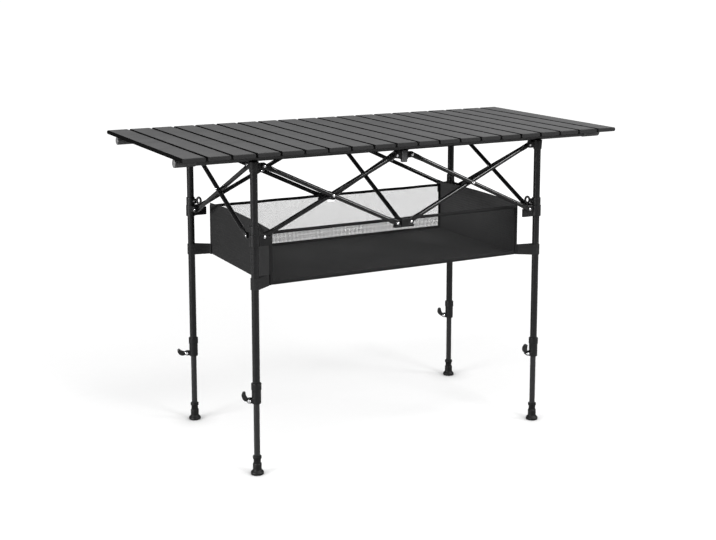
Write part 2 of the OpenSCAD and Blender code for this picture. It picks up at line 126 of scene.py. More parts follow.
# Painted contact shade: ambient occlusion dims the floor's glow close to the feet.
near = put(paper, "ShaderNodeAmbientOcclusion", {"Distance": foot_shade_reach}, samples=16).outputs["AO"]
dim = put(paper, "ShaderNodeMath", {0: near, 1: foot_shade_power}, operation="POWER").outputs[0]
clear = put(paper, "ShaderNodeMath", {0: lift, 1: dim}, operation="MULTIPLY").outputs[0]
white = put(paper, "ShaderNodeMath", {0: clear, 1: shown}, operation="MULTIPLY").outputs[0]
paper.links.new(white, paper.nodes["Principled BSDF"].inputs["Emission Strength"])
floor_mesh.materials.append(pale_floor)
floor = bpy.data.objects.new("floor", floor_mesh)
scene.collection.objects.link(floor)

sky_glow = {"From Min": 0.2, "From Max": 0.9, "To Min": 0.15, "To Max": 0.6}
world = bpy.data.worlds.new("studio")
world.use_nodes = True
sky = world.node_tree
aim = put(sky, "ShaderNodeTexCoord").outputs["Generated"]
height = put(sky, "ShaderNodeSeparateXYZ", {0: aim}).outputs["Z"]
glow = put(sky, "ShaderNodeMapRange", {"Value": height, **sky_glow},
           interpolation_type="SMOOTHSTEP").outputs[0]
seen = put(sky, "ShaderNodeLightPath").outputs["Is Camera Ray"]
power = put(sky, "ShaderNodeMix", {0: seen, 2: glow, 3: 1.0}).outputs[0]
sky.links.new(power, sky.nodes["Background"].inputs["Strength"])
sky.nodes["Background"].inputs["Color"].default_value = (1, 1, 1, 1)
scene.world = world
for name, place, target, panel, watts in (
        ("softbox_above", (-0.45, -0.95, 3.4), (0, 0, 0.5), (0.9, 0.9), 42),
        ("softbox_front", (1.0, -2.9, 2.2), (0, 0, 0.5), (0.9, 0.9), 80),
        ("softbox_right", (2.9, -2.2, 2.0), (0, 0, 0.5), (1, 1), 80),
        ("softbox_left", (-3.4, -0.6, 1.1), (0, 0, 0.5), (1.6, 0.5), 150),
        ("softbox_behind", (3.3, 3.8, 1.3), (0.3, 0, 0.7), (1.5, 1.5), 5)):
    light = bpy.data.lights.new(name, "AREA")
    light.energy = watts
    light.shape = "RECTANGLE"
    light.size, light.size_y = panel
    lamp = bpy.data.objects.new(name, light)
    lamp.location = place
    lamp.rotation_euler = (Vector(target) - Vector(place)).to_track_quat("-Z", "Y").to_euler()
    lamp.visible_camera = False
    scene.collection.objects.link(lamp)


# The slats: 20 hollow aluminium bars with rounded edges, coated dark grey. They are cut from one
# extrusion, and a moulded cap is pressed into both ends of each.
MM = 0.001
slat_count = 20
slat_width = 50.2
slat_pitch = 53.5
slat_thick = 9
slat_bottom = 691
slat_length = 500
slat_edge = 3.5
slat_edge_steps = 7
# How steep a face of a slat must be to take the painted shade of the gaps.
gap_shade_tilt = 0.3
cap_length = 3
cap_edge = 0.9


def node_tree(name, **inputs):
    """A Geometry Nodes tree with an input for geometry and the named inputs, and its input sockets."""
    tree = bpy.data.node_groups.new(name, "GeometryNodeTree")
    tree.interface.new_socket("Geometry", in_out="OUTPUT", socket_type="NodeSocketGeometry")
    tree.interface.new_socket("Geometry", in_out="INPUT", socket_type="NodeSocketGeometry")
    for key, kind in inputs.items():
        tree.interface.new_socket(key, in_out="INPUT", socket_type="NodeSocket" + kind)
    return tree, tree.nodes.new("NodeGroupInput").outputs


def close_tree(tree, geometry, finish):
    """Ends a tree in real geometry with its finish."""
    real = put(tree, "GeometryNodeRealizeInstances", {"Geometry": geometry}).outputs[0]
    coated = put(tree, "GeometryNodeSetMaterial", {"Geometry": real, "Material": finish}).outputs[0]
    tree.links.new(coated, tree.nodes.new("NodeGroupOutput").inputs[0])


def grown(tree, start=None, **values):
    """The plain mesh that a tree makes from a start mesh and the values of its inputs."""
    holder = bpy.data.objects.new("holder", start or bpy.data.meshes.new("start"))
    scene.collection.objects.link(holder)
    modifier = holder.modifiers.new("grow", "NODES")
    modifier.node_group = tree
    for item in tree.interface.items_tree:
        if item.in_out == "INPUT" and item.name in values:
            modifier[item.identifier] = values[item.name]
    depsgraph = bpy.context.evaluated_depsgraph_get()
    mesh = bpy.data.meshes.new_from_object(holder.evaluated_get(depsgraph), depsgraph=depsgraph)
    bpy.data.objects.remove(holder)
    return mesh


def piece(name, mesh, finish, body=None, nodes=(), sharp=40):
    """A finished piece from a mesh in millimetres, at the origin, riding on its body."""
    mesh.name = name
    mesh.transform(Matrix.Scale(MM, 4))
    mesh.materials.clear()
    mesh.materials.append(finish)
    mesh.shade_smooth()
    mesh.set_sharp_from_angle(angle=math.radians(sharp))
    obj = bpy.data.objects.new(name, mesh)
    scene.collection.objects.link(obj)
    if body:
        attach(obj, body)
    if nodes:
        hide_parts(*nodes)
    return obj


def rounded_edges(obj, width, segments=2, angle=40):
    """Rounds the hard edges of a piece."""
    bevel = obj.modifiers.new("rounded", "BEVEL")
    bevel.width = width * MM
    bevel.segments = segments
    bevel.limit_method = "ANGLE"
    bevel.angle_limit = math.radians(angle)
    bevel.harden_normals = False


slat_tree, size = node_tree("slat", Width="Float", Thickness="Float", Length="Float", Edge="Float",
                            Place="Vector", Finish="Material")
outline = put(slat_tree, "GeometryNodeCurvePrimitiveQuadrilateral",
              {"Width": size["Width"], "Height": size["Thickness"]}).outputs[0]
rounded = put(slat_tree, "GeometryNodeFilletCurve",
              {"Curve": outline, "Radius": size["Edge"], "Count": slat_edge_steps}, mode="POLY").outputs[0]
half_length = put(slat_tree, "ShaderNodeMath", {0: size["Length"], 1: 0.5}, operation="MULTIPLY").outputs[0]
tail = put(slat_tree, "ShaderNodeMath", {0: half_length, 1: -1}, operation="MULTIPLY").outputs[0]
draw = put(slat_tree, "GeometryNodeCurvePrimitiveLine",
           {"Start": put(slat_tree, "ShaderNodeCombineXYZ", {"Z": tail}).outputs[0],
            "End": put(slat_tree, "ShaderNodeCombineXYZ", {"Z": half_length}).outputs[0]}).outputs[0]
bar = put(slat_tree, "GeometryNodeCurveToMesh",
          {"Curve": draw, "Profile Curve": rounded, "Fill Caps": True}).outputs[0]
laid = put(slat_tree, "GeometryNodeTransform",
           {"Geometry": bar, "Rotation": (math.radians(90), 0, 0), "Translation": size["Place"]}).outputs[0]
close_tree(slat_tree, laid, size["Finish"])

slat_coat = coat("slat_coat", (0.08, 0.08, 0.081), 0.2, (0.52, 0.64), 900, 0.05, (1, 0.06, 1),
                 Specular_IOR_Level=0.25)
cap_plastic = coat("cap_plastic", (0.012, 0.012, 0.0123), 0.08, (0.45, 0.58), 1500, 0.12,
                   Specular_IOR_Level=0.2)
# A near black finish: painted shade for the gaps between the slats and their steep sides.
slat_gap_shade = coat("slat_gap_shade", (0.004, 0.004, 0.004), 0.1, (0.85, 0.95), 1500, 0.1, Specular_IOR_Level=0.0)


def slat_body(i):
    """The body that slat i rides on: the first one is fixed to the rails."""
    return "top" if i == 1 else f"slat_{i:02d}"


def paint_gap_shade(obj, finish):
    """Paints shade on a bar's sides and the lower part of its rounded edges: the dark gaps between slats."""
    obj.data.materials.append(finish)
    for face in obj.data.polygons:
        face.material_index = 1 if abs(face.normal.x) > gap_shade_tilt else 0


for i in range(1, slat_count + 1):
    slat_x = (i - (slat_count + 1) / 2) * slat_pitch
    slat_middle = slat_bottom + slat_thick / 2
    bar_mesh = grown(slat_tree, Width=slat_width, Thickness=slat_thick, Edge=slat_edge,
                     Length=slat_length - 2 * cap_length, Place=(slat_x, 0, slat_middle), Finish=slat_coat)
    slat_bar = piece(f"slat_bar_{i:02d}", bar_mesh, slat_coat, slat_body(i), [f"slat_{i:02d}"])
    paint_gap_shade(slat_bar, slat_gap_shade)
    for end, side in (("front", -1), ("rear", 1)):
        cap_y = side * (slat_length - cap_length) / 2
        cap_mesh = grown(slat_tree, Width=slat_width, Thickness=slat_thick, Edge=slat_edge,
                         Length=cap_length, Place=(slat_x, cap_y, slat_middle), Finish=cap_plastic)
        cap = piece(f"slat_cap_{end}_{i:02d}", cap_mesh, cap_plastic, slat_body(i))
        paint_gap_shade(cap, slat_gap_shade)
        rounded_edges(cap, cap_edge, 3)


# The elastic cords: two run through holes in all the slats and hold them together. Only the bits that
# cross the gaps show, so those are made.
cord_reach = 145
cord_thick = 3.6
cord_tuck = 2

thread_tree, size = node_tree("thread", Thickness="Float", Sides="Int", Finish="Material")
run = put(thread_tree, "GeometryNodeMeshToCurve", {"Mesh": size["Geometry"]}).outputs[0]
radius = put(thread_tree, "ShaderNodeMath", {0: size["Thickness"], 1: 0.5}, operation="MULTIPLY").outputs[0]
ring = put(thread_tree, "GeometryNodeCurvePrimitiveCircle",
           {"Resolution": size["Sides"], "Radius": radius}).outputs[0]
spun = put(thread_tree, "GeometryNodeCurveToMesh",
           {"Curve": run, "Profile Curve": ring, "Fill Caps": True}).outputs[0]
close_tree(thread_tree, spun, size["Finish"])


def strung(paths, thickness, sides, finish, closed=False):
    """Round threads of one thickness along the paths, which are lists of points."""
    points, edges = [], []
    for path in paths:
        first = len(points)
        points += [tuple(p) for p in path]
        edges += [(k, k + 1) for k in range(first, len(points) - 1)]
        if closed:
            edges.append((len(points) - 1, first))
    start = bpy.data.meshes.new("paths")
    start.from_pydata(points, edges, [])
    return grown(thread_tree, start, Thickness=float(thickness), Sides=sides, Finish=finish)


elastic = coat("elastic_cord", (0.02, 0.02, 0.021), 0.2, (0.8, 0.9), 2500, 0.5, (4, 1, 1), Sheen_Weight=0.3)
for i in range(1, slat_count):
    gap_x = (i - slat_count / 2) * slat_pitch
    reach = (slat_pitch - slat_width) / 2 + cord_tuck
    runs = [[(gap_x + s * reach / 2, y, slat_bottom + slat_thick / 2) for s in range(-2, 3)]
            for y in (-cord_reach, cord_reach)]
    bits = piece(f"elastic_cord_{i:02d}", strung(runs, cord_thick, 10, elastic), elastic)
    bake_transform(bits)


# The rails: two round aluminium tubes under the slats, painted black. A moulded sleeve closes both ends
# of each, and it is flat on top where the slats lie on it.
leg_y = 188.5
rail_z = 682.7
rail_radius = 8
rail_end = 530
rail_inset = 4
rail_length = 2 * (rail_end - rail_inset)
tube_wall = 1.2
sleeve_length = 46
sleeve_radius = 9.2
sleeve_bore = 8.05
sleeve_top = 690.7
groove_radius = sleeve_radius - 0.5
plug_thick = 3
plug_depth = 2


def turned(profile, sides=32):
    """A solid turned about Z from (radius, height) points: closed on the axis, or else a closed ring."""
    points, rings = [], []
    for r, z in profile:
        count = sides if r > 0 else 1
        rings.append(range(len(points), len(points) + count))
        points += [(r * math.cos(2 * math.pi * k / sides), r * math.sin(2 * math.pi * k / sides), z)
                   for k in range(count)]
    pairs = list(zip(rings, rings[1:]))
    if profile[0][0] > 0:
        pairs.append((rings[-1], rings[0]))
    faces = []
    for a, b in pairs:
        for k in range(sides):
            n = (k + 1) % sides
            face = [a[k % len(a)], a[n % len(a)], b[n % len(b)], b[k % len(b)]]
            faces.append(list(dict.fromkeys(face)))
    return clean(points, faces)


def clean(points, faces):
    """A mesh with its doubles merged and its faces outwards."""
    mesh = bpy.data.meshes.new("part")
    mesh.from_pydata([tuple(map(float, p)) for p in points], [], [f for f in faces if len(f) > 2])
    bm = bmesh.new()
    bm.from_mesh(mesh)
    bmesh.ops.remove_doubles(bm, verts=bm.verts, dist=1e-4)
    bmesh.ops.recalc_face_normals(bm, faces=bm.faces)
    bm.to_mesh(mesh)
    bm.free()
    return mesh


def along(a, b):
    """The turn and shift that lays a piece made along Z from a towards b."""
    a, b = Vector(a), Vector(b)
    return Matrix.Translation(a) @ (b - a).to_track_quat("Z", "Y").to_matrix().to_4x4()


def joined(*meshes):
    """Several meshes as one."""
    bm = bmesh.new()
    for mesh in meshes:
        bm.from_mesh(mesh)
    mesh = bpy.data.meshes.new("joined")
    bm.to_mesh(mesh)
    bm.free()
    return mesh


rail_paint = coat("rail_paint", (0.012, 0.012, 0.0125), 0.1, (0.3, 0.4), 1400, 0.06, (0.1, 1, 1),
                  Specular_IOR_Level=0.3)
sleeve_plastic = coat("sleeve_plastic", (0.022, 0.022, 0.0225), 0.1, (0.38, 0.5), 1800, 0.12)
rails, sleeves = [], []
for y in (-leg_y, leg_y):
    tube = turned([(rail_radius - tube_wall, 0), (rail_radius, 0), (rail_radius, rail_length),
                   (rail_radius - tube_wall, rail_length)], 40)
    tube.transform(along((rail_inset - rail_end, y, rail_z), (rail_end, y, rail_z)))
    rails.append(tube)
    for side in (-1, 1):
        sleeve = turned([(0, 0), (6.4, 0), (7, 0.5), (8.2, 0.6), (9, 1.4), (sleeve_radius, 2.4),
                         (sleeve_radius, 40), (groove_radius, 40.6), (groove_radius, 42.4),
                         (sleeve_radius, 43), (sleeve_radius, 45.4), (8.9, sleeve_length),
                         (sleeve_bore, sleeve_length), (sleeve_bore, plug_thick), (0, plug_thick)], 40)
        sleeve.transform(along((side * rail_end, y, rail_z), (0, y, rail_z)))
        for v in sleeve.vertices:
            v.co.z = min(v.co.z, sleeve_top)
        sleeves.append(sleeve)
piece("rail_tubes", joined(*rails), rail_paint, "top", ["top_rails"])
plug_plastic = coat("plug_plastic", (0.09, 0.09, 0.091), 0.1, (0.45, 0.55), 1800, 0.12)
capped = piece("rail_sleeves", joined(*sleeves), sleeve_plastic, "top")
capped.data.materials.append(plug_plastic)
for face in capped.data.polygons:
    at_end = abs(face.center.x) > (rail_end - plug_depth) * MM
    face.material_index = 1 if at_end and abs(face.normal.x) > 0.7 else 0


# The upper legs: round aluminium tubes with a satin black finish, pressed into the top brackets and
# glued into the clamp collars.
leg_x = 356.5
leg_radius = 8
leg_bottom = 168
leg_top = 668.3
LEGS = {"fl": (-1, -1), "fr": (1, -1), "rl": (-1, 1), "rr": (1, 1)}


def at_leg(mesh, leg):
    """A copy of a piece made at the origin for the front left leg, inwards along +X and +Y, set at a leg."""
    sx, sy = LEGS[leg]
    mesh = mesh.copy()
    mesh.transform(Matrix.Translation((sx * leg_x, sy * leg_y, 0)) @ Matrix.Diagonal((-sx, -sy, 1, 1)))
    if sx * sy < 0:
        mesh.flip_normals()
    return mesh


leg_paint = coat("leg_paint", (0.007, 0.007, 0.0073), 0.08, (0.24, 0.34), 1400, 0.05, (1, 1, 0.08),
                 Specular_IOR_Level=0.22)
leg_tube = turned([(leg_radius - tube_wall, leg_bottom), (leg_radius, leg_bottom), (leg_radius, leg_top),
                   (leg_radius - tube_wall, leg_top)], 40)
for leg in LEGS:
    piece(f"leg_tube_{leg}", at_leg(leg_tube, leg), leg_paint, f"leg_{leg}", [f"leg_{leg}"])


# The top brackets: glass filled nylon mouldings on the legs' upper ends. Each is a socket for the leg,
# two lugs for the braces' rivets, and a saddle with a lip that keeps the rail in place.
seat_z = 674.4
seat_radius = 11
socket_bottom = 652.4
socket_radius = 9.4
socket_bore = (640, 668.4)
press_gap = 0.03
lip_half = 12
lip_inner = 8.3
lip_outer = 12.3
lip_bottom = 669.4
lip_top = 679.4
pin_top = 664
pin_low = 514
lug_thick = 6
lug_round = 7
reach_x = 22
reach_y = 30.25
pin_bore = 2.6


def box(low, high):
    """A block between two corners."""
    points = [(x, y, z) for x in (low[0], high[0]) for y in (low[1], high[1]) for z in (low[2], high[2])]
    return clean(points, [(0, 1, 3, 2), (4, 5, 7, 6), (0, 1, 5, 4), (2, 3, 7, 6), (0, 2, 6, 4), (1, 3, 7, 5)])


def rod(a, b, radius, radius_end=None, sides=32):
    """A round bar from a to b."""
    length = (Vector(b) - Vector(a)).length
    bar = turned([(0, 0), (radius, 0), (radius_end or radius, length), (0, length)], sides)
    bar.transform(along(a, b))
    return bar


def moulded(solids, bores=(), voxel=0.7, soften=5):
    """One moulding: the solids are fused and their corners softened, then the bores are cut."""
    holder = bpy.data.objects.new("moulding", joined(*solids))
    scene.collection.objects.link(holder)
    fuse = holder.modifiers.new("fuse", "REMESH")
    fuse.mode = "VOXEL"
    fuse.voxel_size = voxel
    smooth = holder.modifiers.new("soften", "SMOOTH")
    smooth.factor = 0.5
    smooth.iterations = soften
    drill = None
    if bores:
        drill = bpy.data.objects.new("drill", joined(*bores))
        scene.collection.objects.link(drill)
        cut = holder.modifiers.new("bores", "BOOLEAN")
        cut.operation = "DIFFERENCE"
        cut.solver = "EXACT"
        cut.use_self = True
        cut.object = drill
    depsgraph = bpy.context.evaluated_depsgraph_get()
    mesh = bpy.data.meshes.new_from_object(holder.evaluated_get(depsgraph), depsgraph=depsgraph)
    bpy.data.objects.remove(holder)
    if drill:
        bpy.data.objects.remove(drill)
    return mesh


def lug(reach, z, turn=0):
    """The solids of a rivet lug: a plate along X, or turned about Z, that ends round its rivet."""
    plate = box((0, -lug_thick / 2, z - lug_round), (reach, lug_thick / 2, z + lug_round))
    tip = rod((reach, -lug_thick / 2, z), (reach, lug_thick / 2, z), lug_round)
    for mesh in (plate, tip):
        mesh.transform(Matrix.Rotation(math.radians(turn), 4, "Z"))
    return [plate, tip]


def lug_bore(reach, z, turn=0):
    """The hole of a lug for its rivet."""
    bore = rod((reach, -lug_thick, z), (reach, lug_thick, z), pin_bore, sides=20)
    bore.transform(Matrix.Rotation(math.radians(turn), 4, "Z"))
    return bore


nylon = coat("black_nylon", (0.006, 0.006, 0.0063), 0.12, (0.34, 0.48), 2200, 0.18, Specular_IOR_Level=0.22)
bracket = moulded(
    [rod((0, 0, socket_bottom), (0, 0, seat_z), socket_radius, seat_radius),
     box((-lip_half, lip_inner, lip_bottom), (lip_half, lip_outer, lip_top)),
     *lug(reach_x, pin_top), *lug(reach_y, pin_top, 90)],
    [rod((0, 0, socket_bore[0]), (0, 0, socket_bore[1]), leg_radius + press_gap),
     lug_bore(reach_x, pin_top), lug_bore(reach_y, pin_top, 90)])
for leg in LEGS:
    piece(f"top_bracket_{leg}", at_leg(bracket, leg), nylon, f"leg_{leg}")


# The clamp collars: nylon mouldings at the lower ends of the upper legs, with two ears for the lever's
# pivot pin. LEVERS holds each clamp's turn about its leg and its lever's tilt, in degrees.
clamp_bottom = 157
clamp_top = 201
clamp_radius = 10
band_bottom = 187
inner_leg_bore = 6.8
pivot_bore = 2.08
pivot_reach = 16.5
pivot_z = 164
ear_middle = 5.8
ear_half = 1.5
ear_round = 4.5
LEVERS = {"fl": (165, 40), "fr": (170, 62), "rl": (160, 0), "rr": (165, 40)}

ears = []
for side in (-1, 1):
    inner, outer = side * ear_middle - ear_half, side * ear_middle + ear_half
    ears.append(box((0, inner, pivot_z - ear_round), (pivot_reach, outer, pivot_z + ear_round)))
    ears.append(rod((pivot_reach, inner, pivot_z), (pivot_reach, outer, pivot_z), ear_round))
collar = moulded(
    [rod((0, 0, clamp_bottom), (0, 0, clamp_top), clamp_radius),
     rod((0, 0, band_bottom), (0, 0, clamp_top), clamp_radius + 1), *ears],
    [rod((0, 0, leg_bottom), (0, 0, clamp_top + 5), leg_radius + press_gap),
     rod((0, 0, clamp_bottom - 7), (0, 0, leg_bottom + 1), inner_leg_bore),
     rod((pivot_reach, -12, pivot_z), (pivot_reach, 12, pivot_z), pivot_bore)], 0.6, 4)
for leg, (turn, _) in LEVERS.items():
    turned_collar = collar.copy()
    sx, sy = LEGS[leg]
    turned_collar.transform(Matrix.Translation((sx * leg_x, sy * leg_y, 0))
                            @ Matrix.Rotation(math.radians(turn), 4, "Z"))
    piece(f"clamp_collar_{leg}", turned_collar, nylon, f"leg_{leg}")


# The clamp levers: bent nylon levers, thickest in the middle, on steel pins through the collars' ears.
lever_radius = 26
lever_bend = 50
lever_steps = 12
lever_half_width = 4.2
lever_half_thick = 2.6
lever_swell = 5
barrel_radius = 4.5
barrel_bore = 2.03


def lofted(rings):
    """A closed solid through rings of points, with both ends capped."""
    count = len(rings[0])
    points = [p for ring in rings for p in ring]
    faces = []
    for low in range(0, len(points) - count, count):
        for k in range(count):
            n = (k + 1) % count
            faces.append((low + k, low + n, low + count + n, low + count + k))
    faces += [tuple(range(count)), tuple(range(len(points) - count, len(points)))]
    return clean(points, faces)


lever_plastic = coat("lever_plastic", (0.005, 0.005, 0.0052), 0.1, (0.26, 0.38), 2000, 0.1,
                     Specular_IOR_Level=0.35)
pin_steel = coat("pin_steel", (0.6, 0.6, 0.61), 0.06, (0.22, 0.34), 1800, 0.05, Metallic=1.0)
blade = []
for step in range(lever_steps + 1):
    bend = math.radians(lever_bend) * step / lever_steps
    fullness = math.sin(math.pi * step / lever_steps)
    half = lever_half_width * (1 + 0.12 * fullness) - (0.9 if step == lever_steps else 0)
    inside = 0.3 * step / lever_steps - lever_half_thick
    outside = lever_half_thick + lever_swell * fullness
    out = Vector((math.sin(bend), 0, -math.cos(bend)))
    centre = Vector((0, 0, lever_radius)) + out * lever_radius
    blade.append([centre + out * a + Vector((0, b * half, 0))
                  for a, b in ((inside, -1), (outside, -1), (outside, 1), (inside, 1))])
lever = moulded([lofted(blade), rod((0, -4, 0), (0, 4, 0), barrel_radius)],
                [rod((0, -8, 0), (0, 8, 0), barrel_bore, sides=20)], 0.45, 4)
pivot_pin = turned([(0, -8.6), (2, -8.5), (3.3, -8), (3.7, -7.35), (2, -7.3),
                    (2, 7.3), (3.7, 7.35), (3.3, 8), (2, 8.5), (0, 8.6)], 24)
pivot_pin.transform(Matrix.Rotation(math.radians(90), 4, "X"))
for leg, (turn, tilt) in LEVERS.items():
    sx, sy = LEGS[leg]
    place = (Matrix.Translation((sx * leg_x, sy * leg_y, pivot_z))
             @ Matrix.Rotation(math.radians(turn), 4, "Z")
             @ Matrix.Translation((pivot_reach, 0, 0)) @ Matrix.Rotation(math.radians(-tilt), 4, "Y"))
    for name, mesh, finish, slot, nodes in (
            ("clamp_lever", lever, lever_plastic, "lever_plastic", [f"lever_{leg}"]),
            ("clamp_pin", pivot_pin, pin_steel, "latch_steel", [])):
        placed = mesh.copy()
        placed.transform(place)
        piece(f"{name}_{leg}", placed, finish, f"lever_{leg}", nodes)


# The inner legs: thinner aluminium tubes that slide in the upper legs and are held by the clamps.
inner_radius = 6.5
inner_bottom = 5
inner_top = 288
inner_leg_paint = coat("inner_leg_paint", (0.012, 0.012, 0.0125), 0.1, (0.26, 0.38), 1400, 0.06, (1, 1, 0.06),
                       Specular_IOR_Level=0.3)
inner_tube = turned([(inner_radius - tube_wall, inner_bottom), (inner_radius, inner_bottom),
                     (inner_radius, inner_top), (inner_radius - tube_wall, inner_top)], 36)
for leg in LEGS:
    piece(f"inner_tube_{leg}", at_leg(inner_tube, leg), inner_leg_paint, f"inner_leg_{leg}",
          [f"inner_leg_{leg}"])


# The feet: moulded rubber boots on the inner legs, with a flared base and two rings.
foot_bore = inner_radius + press_gap
rubber = coat("foot_rubber", (0.004, 0.004, 0.004), 0.15, (0.4, 0.55), 1600, 0.25, Specular_IOR_Level=0.2)
foot = turned([(0, 0), (12.4, 0), (13.4, 0.5), (14, 1.6), (14, 4.2), (13.7, 5.4), (12.8, 6.6),
               (11.2, 8.2), (10, 9.6), (9.6, 10.8), (9.5, 12.4), (9.5, 22.6), (9.3, 23.8), (8.6, 24.7),
               (7.9, 25.2), (7.9, 33.6), (8.3, 34.2), (9, 34.6), (9.5, 35.4), (9.5, 39.4), (9.1, 40.5),
               (8.2, 41), (foot_bore, 41), (foot_bore, inner_bottom), (0, inner_bottom)], 40)
for leg in LEGS:
    piece(f"foot_{leg}", at_leg(foot, leg), rubber, f"inner_leg_{leg}")


# The sliders: nylon blocks that run on the legs with the scissors. Each has two rivet lugs and an arm
# that holds the corner of the basket, and a collar with the latch screwed on top.
block_bottom = 495.3
block_top = 521.3
block_radius = 11
arm_reach = 38
arm_half = 3
arm_top = 514.3
collar_top = 539.3
collar_radius = 10
latch_z = 530.3
boss_reach = 14
boss_radius = 6
latch_bore = 2.08
diagonal = Vector((math.sqrt(0.5), math.sqrt(0.5), 0))

leg_passage = rod((0, 0, 480), (0, 0, 560), leg_radius + 0.3, sides=40)
slider = moulded(
    [rod((0, 0, block_bottom), (0, 0, block_top), block_radius),
     box((0, -arm_half, block_bottom), (arm_reach, arm_half, arm_top)),
     *lug(reach_x, pin_low), *lug(reach_y, pin_low, 90)],
    [leg_passage, lug_bore(reach_x, pin_low), lug_bore(reach_y, pin_low, 90)])
latch_centre = Vector((0, 0, latch_z))
latch_boss = latch_centre + diagonal * boss_reach
latch_collar = moulded(
    [rod((0, 0, block_top + press_gap), (0, 0, collar_top), collar_radius),
     rod(latch_centre, latch_boss, boss_radius)],
    [leg_passage, rod(latch_centre + diagonal * 5, latch_boss + diagonal * 4, latch_bore, sides=20)], 0.6, 4)
for leg in LEGS:
    piece(f"slider_block_{leg}", at_leg(slider, leg), nylon, f"slider_{leg}",
          [f"slider_{leg}"])
    piece(f"latch_collar_{leg}", at_leg(latch_collar, leg), nylon, f"slider_{leg}")


# The latches: pins in the collars' bosses, each with an oval ring to pull it, all in black.
ring_reach = 21
ring_lift = 2
ring_half_width = 4.8
ring_half_height = 7.2
ring_wire = 5.2
latch_black = coat("latch_black", (0.006, 0.006, 0.0062), 0.1, (0.3, 0.42), 1800, 0.06,
                   Specular_IOR_Level=0.3)
latch_pin = turned([(0, 8.7), (1.4, 8.7), (1.95, 9.4), (1.95, 14.4), (3, 14.6), (3, 15.6), (1.8, 16.2),
                    (0, 16.2)], 24)
latch_pin.transform(along(latch_centre, latch_centre + diagonal))
ring_middle = Vector((0, 0, latch_z + ring_lift)) + diagonal * ring_reach
ring_path = [ring_middle + ring_half_width * diagonal * math.cos(a)
             + Vector((0, 0, ring_half_height * math.sin(a)))
             for a in np.linspace(0, 2 * math.pi, 28, endpoint=False)]
pull_ring = strung([ring_path], ring_wire, 14, latch_black, closed=True)
for leg in LEGS:
    piece(f"latch_pin_{leg}", at_leg(latch_pin, leg), latch_black, f"latch_{leg}",
          [f"latch_{leg}"])
    piece(f"latch_ring_{leg}", at_leg(pull_ring, leg), latch_black, f"latch_{leg}")


# The centre hubs: nylon blocks at the middle of both long sides. The upper ones carry the rails and have
# a stud below, and the lower ones hang on the braces, with a foot plate under them.
reach_hub = 18
hub_half = 9
plate_half_x = 24
plate_half_y = 6
plate_bottom = 503.5
plate_top = 508.5
HUBS = {"front": -1, "rear": 1}


def at_side(mesh, side):
    """A copy of a piece made at the origin for the front, set at the middle of the front or the rear."""
    mesh = mesh.copy()
    mesh.transform(Matrix.Translation((0, side * leg_y, 0)) @ Matrix.Diagonal((1, -side, 1, 1)))
    if side > 0:
        mesh.flip_normals()
    return mesh


hub_lugs = ((reach_hub, 0), (reach_y, 90), (reach_hub, 180))
upper_hub = moulded(
    [box((-hub_half, -3.75, 654.4), (hub_half, 11, seat_z)),
     box((-hub_half, lip_inner, lip_bottom), (hub_half, lip_outer, lip_top))]
    + [solid for reach, turn in hub_lugs for solid in lug(reach, pin_top, turn)],
    [lug_bore(reach, pin_top, turn) for reach, turn in hub_lugs])
lower_hub = moulded(
    [box((-hub_half, -hub_half, 505), (hub_half, hub_half, 523)),
     box((-plate_half_x, -plate_half_y, plate_bottom), (plate_half_x, plate_half_y, plate_top))]
    + [solid for reach, turn in hub_lugs for solid in lug(reach, pin_low, turn)],
    [lug_bore(reach, pin_low, turn) for reach, turn in hub_lugs])
stud_plastic = coat("stud_plastic", (0.05, 0.05, 0.051), 0.1, (0.34, 0.46), 1800, 0.12)
stud = turned([(0, 648.4), (6.6, 648.4), (7.3, 648.8), (7.5, 649.6), (7.5, 673.6), (7.2, 674.2),
               (0, 674.2)], 36)
for name, side in HUBS.items():
    upper_body = "frame" if side < 0 else "hub_rear_upper"
    piece(f"upper_hub_{name}", at_side(upper_hub, side), nylon, upper_body,
          [f"hub_{name}_upper"])
    piece(f"hub_stud_{name}", at_side(stud, side), stud_plastic, upper_body)
    piece(f"lower_hub_{name}", at_side(lower_hub, side), nylon, f"hub_{name}_lower",
          [f"hub_{name}_lower"])


# The braces: round aluminium tubes with both ends pressed flat, in a gloss black finish. They are riveted
# to the lugs, and to each other where they cross.
brace_radius = 5
tab_half = 6
tab_half_thick = 2
flat_length = 17
flare_length = 19
brace_sides = 28
rivet_head = (3.1, 1.3, 3.1)
rivet_shank = 2.5
layer = 5.3
span = 316.5
rise = 150
brace_length = math.hypot(span, rise)
slope = math.atan2(rise, span)
BRACES = {
    "brace_fl_high": ("x", reach_x - leg_x, -leg_y, True, -1),
    "brace_fl_low": ("x", reach_x - leg_x, -leg_y, False, 1),
    "brace_fr_low": ("x", reach_hub, -leg_y, True, -1),
    "brace_fr_high": ("x", reach_hub, -leg_y, False, 1),
    "brace_rl_high": ("x", reach_x - leg_x, leg_y, True, -1),
    "brace_rl_low": ("x", reach_x - leg_x, leg_y, False, 1),
    "brace_rr_low": ("x", reach_hub, leg_y, True, -1),
    "brace_rr_high": ("x", reach_hub, leg_y, False, 1),
    "brace_left_inner": ("y", -leg_x, reach_y - leg_y, True, -1),
    "brace_left_outer": ("y", -leg_x, reach_y - leg_y, False, 1),
    "brace_right_outer": ("y", leg_x, reach_y - leg_y, True, -1),
    "brace_right_inner": ("y", leg_x, reach_y - leg_y, False, 1),
    "brace_centre_falling": ("y", 0, reach_y - leg_y, True, 1),
    "brace_centre_rising": ("y", 0, reach_y - leg_y, False, -1),
}


